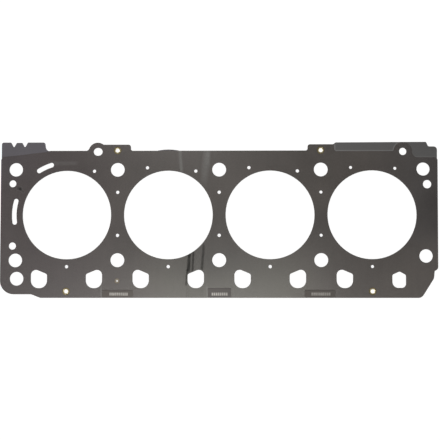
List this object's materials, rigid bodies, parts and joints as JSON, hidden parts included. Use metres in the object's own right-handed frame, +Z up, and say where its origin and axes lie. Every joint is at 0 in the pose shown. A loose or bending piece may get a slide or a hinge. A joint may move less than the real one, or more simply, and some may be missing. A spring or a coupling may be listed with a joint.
{
  "type": "cylinder head gasket",
  "caption": "Long flat layered-steel cylinder head gasket with a row of round bores, bolt holes, coolant holes, peaked push-rod windows, a notched tab and brass eyelets.",
  "frame": {"origin": "midway between the second and third cylinder bores, on the flat underside of the lower sheet, which lies on the block deck", "axes": "+X along the row of bores from the notched tab end to the chamfered end; +Y across the gasket, away from the push-rod windows; +Z up, towards the cylinder head"},
  "size_m": [0.473, 0.1687, 0.0019],
  "materials": {
    "coated_sheet": "satin dark grey elastomer coating on spring steel",
    "bare_steel": "dull rolled steel, uncoated",
    "stopper_steel": "rolled stainless shim",
    "brass": "bright rolled brass"
  },
  "bodies": {
    "root": {"upper_sheet": "coated_sheet", "distance_plate": "bare_steel", "lower_sheet": "coated_sheet", "stopper_ring_1": "stopper_steel", "stopper_ring_2": "stopper_steel", "stopper_ring_3": "stopper_steel", "stopper_ring_4": "stopper_steel", "eyelet_1": "brass", "eyelet_2": "brass", "eyelet_3": "brass", "eyelet_4": "brass", "centre_rivet": "brass"}
  },
  "joints": []
}
